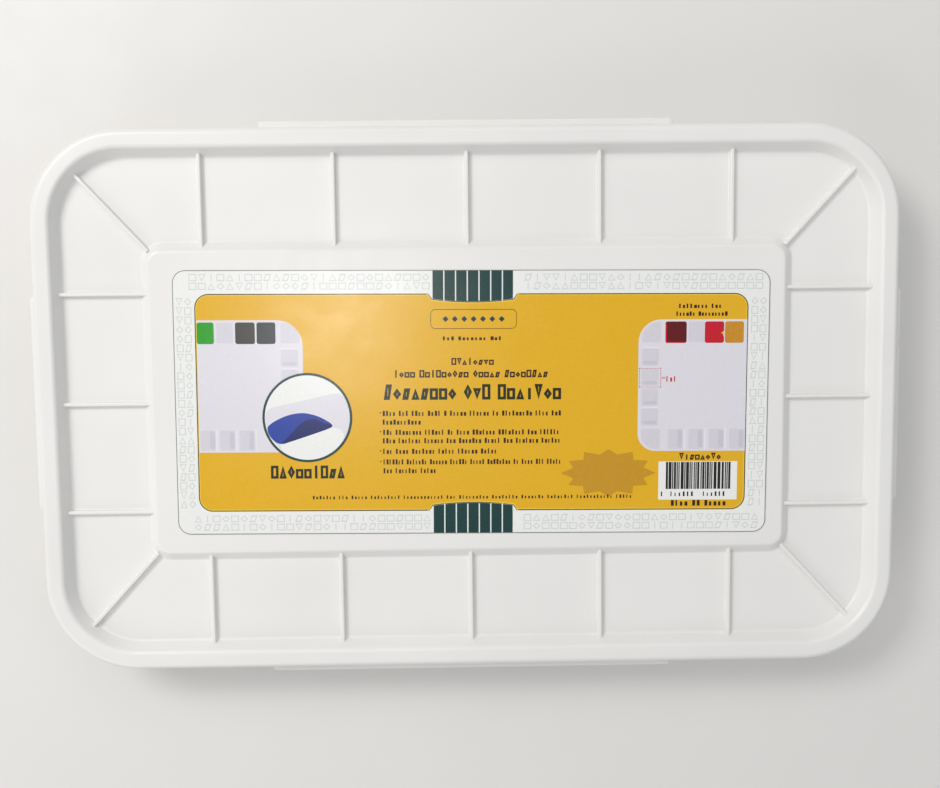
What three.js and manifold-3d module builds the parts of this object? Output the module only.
// A flat airtight paint palette: a white tray with a ring of pans round a mixing surface, and a
// lift-off lid whose raised rim caps the tray's sealing lip. The tray stands on Z = 0, the long
// side runs along X, and the lid lifts along +Z. Millimetres.
import * as THREE from "three";
import { mergeVertices } from "three/addons/utils/BufferGeometryUtils.js";
import Module from "manifold-3d";

const wasm = await Module();
wasm.setup();

// Outline shared by the lid and the tray.
const LENGTH = 434;
const WIDTH = 273.6;
const CORNER_RADIUS = 46.5;
const HEIGHT = 35;
const CORNER_STEPS = 9;

// Lid.
const LID_WALL = 2;
const SKIRT_BOTTOM = 25.5;
const LID_FLOOR_TOP = HEIGHT - 7.2;
const LID_FLOOR_BOTTOM = LID_FLOOR_TOP - 1.8;
const RIM_CHANNEL_TOP = HEIGHT - LID_WALL;
const PLATEAU = { halfX: 164, halfY: 80.8, radius: 11, top: LID_FLOOR_TOP + 4.2, slope: 5.5 };
const RIB_HEIGHT = 2.6;
const RIB_FOOT = 3.2;
const RIB_CREST = 1.2;
const LONG_SIDE_RIB_PITCH = 66.5;
const SHORT_SIDE_RIB_PITCH = 55.3;
const RIB_OUTER_INSET = 11.4;
const TAB_PROUD = 3.5;
const TAB_THICKNESS = 2;
const LONG_SIDE_TAB = 207;
const SHORT_SIDE_TAB = 109;

// Gasket and label. The label is stuck on slightly off centre and askew.
const GASKET = { outerInset: 3.9, innerInset: 8, top: RIM_CHANNEL_TOP - 0.3, thickness: 1.5 };
const LABEL = { length: 299.4, width: 133.5, radius: 6.5, thickness: 0.3, gap: 0.05 };
const LABEL_PLACE = { x: 1.7, y: -1.3, turnDegrees: -0.53 };

// Tray.
const FLANGE_TOP = 25;
const FLANGE_THICKNESS = 2;
const LIP_TOP = 30.9;
const TRAY_FLOOR = 1.6;
const MIXING_TOP = 21;
const MIXING_THICKNESS = 2;
const MIXING_WALL = 2;

// Pans: two corner pans and eight more along each long side, four more along each short side.
const PAN_RING_INSET = 8.4;
const PAN_DEPTH_OUTWARD = 44.2;
const PANS_ON_LONG_SIDE = 8;
const PANS_ON_SHORT_SIDE = 4;
const PAN_GAP = 0.6;
const PAN_BOTTOM = TRAY_FLOOR + 0.3;
const PAN_DRAFT = 1;
const PAN_WALL = 1.4;
const PAN_FLOOR = 1.5;
const PAN_FILLET = 3;
const PAN_CORNER_RADIUS = 4.5;
const PAN_CORNER_STEPS = 3;
const SMALLEST_RADIUS = 0.6;

const WHITE_PLASTIC = new THREE.MeshStandardMaterial({ color: 0xe9e9e7, roughness: 0.35, metalness: 0 });
const SILICONE = new THREE.MeshStandardMaterial({ color: 0xdfe3e4, roughness: 0.6, metalness: 0 });
const PRINTED_CARD = new THREE.MeshStandardMaterial({ color: 0xe4b432, roughness: 0.45, metalness: 0 });

const AXIS = "axis";

// Turns a profile of [inset, z] points about a rounded rectangle, as a lathe turns one about a
// circle. The points run anticlockwise seen with the inset falling to the right. A profile that
// starts and ends at AXIS gives a solid that fills the middle; any other closes on itself.
function roundRectLathe({ halfX, halfY, radii, steps, profile }) {
  const rows = profile[0][0] === AXIS ? profile : [...profile, profile[0]];
  const points = rows.map(([, z], row) => new THREE.Vector2(1 + row, z));
  const columns = 4 * (steps + 1);
  const geometry = new THREE.LatheGeometry(points, columns);
  const position = geometry.attributes.position;
  for (let column = 0; column <= columns; column++) {
    const quarter = Math.floor(column / (steps + 1)) % 4;
    const angle = (quarter + (column % (steps + 1)) / steps) * (Math.PI / 2);
    const sideX = quarter === 0 || quarter === 3 ? 1 : -1;
    const sideY = quarter < 2 ? 1 : -1;
    rows.forEach(([inset, z], row) => {
      const index = column * rows.length + row;
      if (inset === AXIS) {
        position.setXYZ(index, 0, 0, z);
        return;
      }
      const radius = Math.max(radii[quarter] - inset, SMALLEST_RADIUS);
      const x = sideX * (halfX - inset - radius) + radius * Math.cos(angle);
      const y = sideY * (halfY - inset - radius) + radius * Math.sin(angle);
      position.setXYZ(index, x, y, z);
    });
  }
  return geometry;
}

// A closed geometry as a manifold solid, with shared vertices merged and slivers dropped.
function solidOf(geometry) {
  const bare = geometry.clone();
  bare.deleteAttribute("normal");
  bare.deleteAttribute("uv");
  const merged = mergeVertices(bare, 1e-4);
  const corners = merged.index.array;
  const kept = [];
  for (let i = 0; i < corners.length; i += 3) {
    const [a, b, c] = [corners[i], corners[i + 1], corners[i + 2]];
    if (a !== b && b !== c && c !== a) {
      kept.push(a, b, c);
    }
  }
  const vertProperties = new Float32Array(merged.attributes.position.array);
  const triVerts = new Uint32Array(kept);
  return new wasm.Manifold(new wasm.Mesh({ numProp: 3, vertProperties, triVerts }));
}

function meshOf(name, solid, material) {
  const { vertProperties, triVerts } = solid.getMesh();
  const geometry = new THREE.BufferGeometry();
  geometry.setAttribute("position", new THREE.BufferAttribute(vertProperties, 3));
  geometry.setIndex(new THREE.BufferAttribute(triVerts, 1));
  const mesh = new THREE.Mesh(geometry, material);
  mesh.name = name;
  return mesh;
}

function roundedPlate(length, width, radius, thickness) {
  const [x, y] = [length / 2, width / 2];
  const shape = new THREE.Shape();
  shape.moveTo(x, y - radius);
  shape.absarc(x - radius, y - radius, radius, 0, Math.PI / 2);
  shape.absarc(radius - x, y - radius, radius, Math.PI / 2, Math.PI);
  shape.absarc(radius - x, radius - y, radius, Math.PI, 1.5 * Math.PI);
  shape.absarc(x - radius, radius - y, radius, 1.5 * Math.PI, 2 * Math.PI);
  return new THREE.ExtrudeGeometry(shape, { depth: thickness, bevelEnabled: false, curveSegments: 5 });
}

// A low rib with sloping flanks and a rounded crest, from one point of the lid's floor to another.
function ribBetween(start, end) {
  const [foot, crest] = [RIB_FOOT / 2, RIB_CREST / 2];
  const section = new THREE.Shape();
  section.moveTo(-foot, -0.4);
  section.lineTo(foot, -0.4);
  section.lineTo(foot - 0.3, 0.2);
  section.lineTo(crest, RIB_HEIGHT - 0.4);
  section.lineTo(crest * 0.4, RIB_HEIGHT);
  section.lineTo(-crest * 0.4, RIB_HEIGHT);
  section.lineTo(-crest, RIB_HEIGHT - 0.4);
  section.lineTo(0.3 - foot, 0.2);
  section.closePath();
  const run = new THREE.Vector2(end.x - start.x, end.y - start.y);
  const geometry = new THREE.ExtrudeGeometry(section, { depth: run.length(), bevelEnabled: false });
  geometry.rotateX(Math.PI / 2);
  geometry.rotateZ(run.angle() + Math.PI / 2);
  geometry.translate(start.x, start.y, LID_FLOOR_TOP);
  return solidOf(geometry);
}

// The ribs stand square to the sides and on the corner bisectors, from the plateau to the rim.
function ribEnds() {
  const ends = [];
  const [innerX, innerY] = [PLATEAU.halfX - PLATEAU.slope / 2, PLATEAU.halfY - PLATEAU.slope / 2];
  const [outerX, outerY] = [LENGTH / 2 - RIB_OUTER_INSET, WIDTH / 2 - RIB_OUTER_INSET];
  for (const side of [-1, 1]) {
    for (const place of [-2, -1, 0, 1, 2]) {
      const x = place * LONG_SIDE_RIB_PITCH;
      ends.push([new THREE.Vector2(x, side * innerY), new THREE.Vector2(x, side * outerY)]);
    }
    for (const place of [-1, 0, 1]) {
      const y = place * SHORT_SIDE_RIB_PITCH;
      ends.push([new THREE.Vector2(side * innerX, y), new THREE.Vector2(side * outerX, y)]);
    }
    for (const end of [-1, 1]) {
      const reach = (CORNER_RADIUS - RIB_OUTER_INSET) * Math.SQRT1_2;
      const start = new THREE.Vector2(side * (innerX - 1.5), end * (innerY - 1.5));
      const cornerX = LENGTH / 2 - CORNER_RADIUS + reach;
      const cornerY = WIDTH / 2 - CORNER_RADIUS + reach;
      ends.push([start, new THREE.Vector2(side * cornerX, end * cornerY)]);
    }
  }
  return ends;
}

function lidShell() {
  return solidOf(roundRectLathe({
    halfX: LENGTH / 2,
    halfY: WIDTH / 2,
    radii: [CORNER_RADIUS, CORNER_RADIUS, CORNER_RADIUS, CORNER_RADIUS],
    steps: CORNER_STEPS,
    profile: [
      [AXIS, LID_FLOOR_BOTTOM],
      [13.8, LID_FLOOR_BOTTOM],
      [12.2, LID_FLOOR_BOTTOM + 1],
      [9.3, RIM_CHANNEL_TOP - 1.3],
      [8.3, RIM_CHANNEL_TOP],
      [3.7, RIM_CHANNEL_TOP],
      [2.6, RIM_CHANNEL_TOP - 1],
      [LID_WALL, SKIRT_BOTTOM],
      [0, SKIRT_BOTTOM],
      [0.5, HEIGHT - 3.6],
      [1.3, HEIGHT - 1.5],
      [2.6, HEIGHT - 0.4],
      [4.2, HEIGHT],
      [8, HEIGHT],
      [9.6, HEIGHT - 0.5],
      [10.8, HEIGHT - 1.7],
      [12.9, LID_FLOOR_TOP + 1.6],
      [13.6, LID_FLOOR_TOP + 0.5],
      [14.9, LID_FLOOR_TOP],
      [AXIS, LID_FLOOR_TOP],
    ],
  }));
}

function plateauBlock(profile) {
  const { halfX, halfY, radius } = PLATEAU;
  return solidOf(roundRectLathe({ halfX, halfY, radii: [radius, radius, radius, radius], steps: 4, profile }));
}

function makeLid() {
  const { top, slope } = PLATEAU;
  const raised = plateauBlock([
    [AXIS, LID_FLOOR_BOTTOM + 0.5],
    [0, LID_FLOOR_BOTTOM + 0.5],
    [0, LID_FLOOR_TOP],
    [0.7, LID_FLOOR_TOP + 0.5],
    [slope - 2.5, top - 0.9],
    [slope, top],
    [AXIS, top],
  ]);
  const recess = plateauBlock([
    [AXIS, LID_FLOOR_BOTTOM - 1],
    [1.8, LID_FLOOR_BOTTOM - 1],
    [1.8, LID_FLOOR_BOTTOM],
    [slope - 1.3, top - 2.8],
    [slope + 0.8, top - 1.8],
    [AXIS, top - 1.8],
  ]);
  let lid = lidShell().add(raised);
  for (const [start, end] of ribEnds()) {
    lid = lid.add(ribBetween(start, end));
  }
  lid = lid.subtract(recess);
  const tabRoot = 1;
  for (const side of [-1, 1]) {
    const tabWidth = TAB_PROUD + tabRoot;
    const long = roundedPlate(LONG_SIDE_TAB, tabWidth, 1.4, TAB_THICKNESS);
    long.translate(0, side * (WIDTH / 2 + TAB_PROUD - tabWidth / 2), SKIRT_BOTTOM);
    const short = roundedPlate(tabWidth, SHORT_SIDE_TAB, 1.4, TAB_THICKNESS);
    short.translate(side * (LENGTH / 2 + TAB_PROUD - tabWidth / 2), 0, SKIRT_BOTTOM);
    lid = lid.add(solidOf(long)).add(solidOf(short));
  }
  return meshOf("lid", lid, WHITE_PLASTIC);
}

function makeGasket() {
  const { outerInset, innerInset, top, thickness } = GASKET;
  const ring = roundRectLathe({
    halfX: LENGTH / 2,
    halfY: WIDTH / 2,
    radii: [CORNER_RADIUS, CORNER_RADIUS, CORNER_RADIUS, CORNER_RADIUS],
    steps: CORNER_STEPS,
    profile: [
      [innerInset, top - thickness],
      [outerInset, top - thickness],
      [outerInset, top],
      [innerInset, top],
    ],
  });
  return meshOf("lid_gasket", solidOf(ring), SILICONE);
}

function makeLabel() {
  const { length, width, radius, thickness, gap } = LABEL;
  const plate = roundedPlate(length, width, radius, thickness);
  plate.rotateZ(THREE.MathUtils.degToRad(LABEL_PLACE.turnDegrees));
  plate.translate(LABEL_PLACE.x, LABEL_PLACE.y, PLATEAU.top + gap);
  return meshOf("label_card", solidOf(plate), PRINTED_CARD);
}

// The tray is a pressed shell: an outer wall with a flange and a sealing lip, a trough for the pans
// and, in the middle, a raised mixing surface that is hollow underneath.
function makeTray() {
  const shell = solidOf(roundRectLathe({
    halfX: LENGTH / 2,
    halfY: WIDTH / 2,
    radii: [CORNER_RADIUS, CORNER_RADIUS, CORNER_RADIUS, CORNER_RADIUS],
    steps: CORNER_STEPS,
    profile: [
      [AXIS, 0],
      [9.8, 0],
      [8.3, 0.6],
      [7.5, 2.2],
      [5.7, FLANGE_TOP - FLANGE_THICKNESS],
      [0.6, FLANGE_TOP - FLANGE_THICKNESS],
      [0.6, FLANGE_TOP],
      [5.5, FLANGE_TOP],
      [5, LIP_TOP - 0.6],
      [5.5, LIP_TOP],
      [6.5, LIP_TOP],
      [7, LIP_TOP - 0.6],
      [7.7, MIXING_TOP],
      [9.4, TRAY_FLOOR],
      [AXIS, TRAY_FLOOR],
    ],
  }));
  const ringWidth = PAN_RING_INSET + PAN_DEPTH_OUTWARD + PAN_GAP;
  const block = { halfX: LENGTH / 2 - ringWidth, halfY: WIDTH / 2 - ringWidth, steps: 3 };
  const mixing = solidOf(roundRectLathe({
    ...block,
    radii: [4, 4, 4, 4],
    profile: [
      [AXIS, 0.5],
      [-PAN_DRAFT, 0.5],
      [0, MIXING_TOP - 0.6],
      [0.6, MIXING_TOP],
      [AXIS, MIXING_TOP],
    ],
  }));
  const hollow = solidOf(roundRectLathe({
    ...block,
    radii: [4, 4, 4, 4],
    profile: [
      [AXIS, -1],
      [MIXING_WALL - PAN_DRAFT, -1],
      [MIXING_WALL, MIXING_TOP - MIXING_THICKNESS],
      [AXIS, MIXING_TOP - MIXING_THICKNESS],
    ],
  }));
  return meshOf("base_tray", shell.add(mixing).subtract(hollow), WHITE_PLASTIC);
}

// An open cup that narrows downwards, with a rounded foot inside. Its top is level with the mixing
// surface.
function makePan(name, x, y, sizeX, sizeY, radii) {
  const floor = PAN_BOTTOM + PAN_FLOOR;
  const geometry = roundRectLathe({
    halfX: (sizeX - PAN_GAP) / 2,
    halfY: (sizeY - PAN_GAP) / 2,
    radii,
    steps: radii.some((radius) => radius > 2 * PAN_CORNER_RADIUS) ? 2 * PAN_CORNER_STEPS : PAN_CORNER_STEPS,
    profile: [
      [AXIS, PAN_BOTTOM],
      [PAN_DRAFT + 1, PAN_BOTTOM],
      [PAN_DRAFT, PAN_BOTTOM + 1],
      [0, MIXING_TOP],
      [PAN_WALL, MIXING_TOP],
      [PAN_WALL + PAN_DRAFT, floor + PAN_FILLET],
      [PAN_WALL + PAN_DRAFT + 0.3 * PAN_FILLET, floor + 0.3 * PAN_FILLET],
      [PAN_WALL + PAN_DRAFT + PAN_FILLET, floor],
      [AXIS, floor],
    ],
  });
  geometry.translate(x, y, 0);
  return meshOf(name, solidOf(geometry), WHITE_PLASTIC);
}

function makePans() {
  const pans = [];
  const [ringX, ringY] = [LENGTH / 2 - PAN_RING_INSET, WIDTH / 2 - PAN_RING_INSET];
  const longPitch = (2 * (ringX - PAN_DEPTH_OUTWARD)) / PANS_ON_LONG_SIDE;
  const shortPitch = (2 * (ringY - PAN_DEPTH_OUTWARD)) / PANS_ON_SHORT_SIDE;
  const [rowX, rowY] = [ringX - PAN_DEPTH_OUTWARD / 2, ringY - PAN_DEPTH_OUTWARD / 2];
  const plain = [PAN_CORNER_RADIUS, PAN_CORNER_RADIUS, PAN_CORNER_RADIUS, PAN_CORNER_RADIUS];
  for (const [sideName, side] of [["front", -1], ["back", 1]]) {
    for (let i = 0; i < PANS_ON_LONG_SIDE; i++) {
      const x = (i + 0.5) * longPitch - PANS_ON_LONG_SIDE * longPitch / 2;
      pans.push(makePan(`pan_${sideName}_${i + 1}`, x, side * rowY, longPitch, PAN_DEPTH_OUTWARD, plain));
    }
    for (const [endName, end] of [["left", -1], ["right", 1]]) {
      const outerQuarter = side > 0 ? (end > 0 ? 0 : 1) : (end > 0 ? 3 : 2);
      const radii = plain.map((radius, quarter) =>
        quarter === outerQuarter ? CORNER_RADIUS - PAN_RING_INSET : radius);
      const name = `pan_corner_${sideName}_${endName}`;
      pans.push(makePan(name, end * rowX, side * rowY, PAN_DEPTH_OUTWARD, PAN_DEPTH_OUTWARD, radii));
    }
  }
  for (const [endName, end] of [["left", -1], ["right", 1]]) {
    for (let i = 0; i < PANS_ON_SHORT_SIDE; i++) {
      const y = (i + 0.5) * shortPitch - PANS_ON_SHORT_SIDE * shortPitch / 2;
      pans.push(makePan(`pan_${endName}_${i + 1}`, end * rowX, y, PAN_DEPTH_OUTWARD, shortPitch, plain));
    }
  }
  return pans;
}

const base = new THREE.Group();
base.add(makeTray(), ...makePans());

const lidAssembly = new THREE.Group();
lidAssembly.add(makeLid(), makeGasket(), makeLabel());

const palette = new THREE.Group();
palette.add(base, lidAssembly);

export default palette;
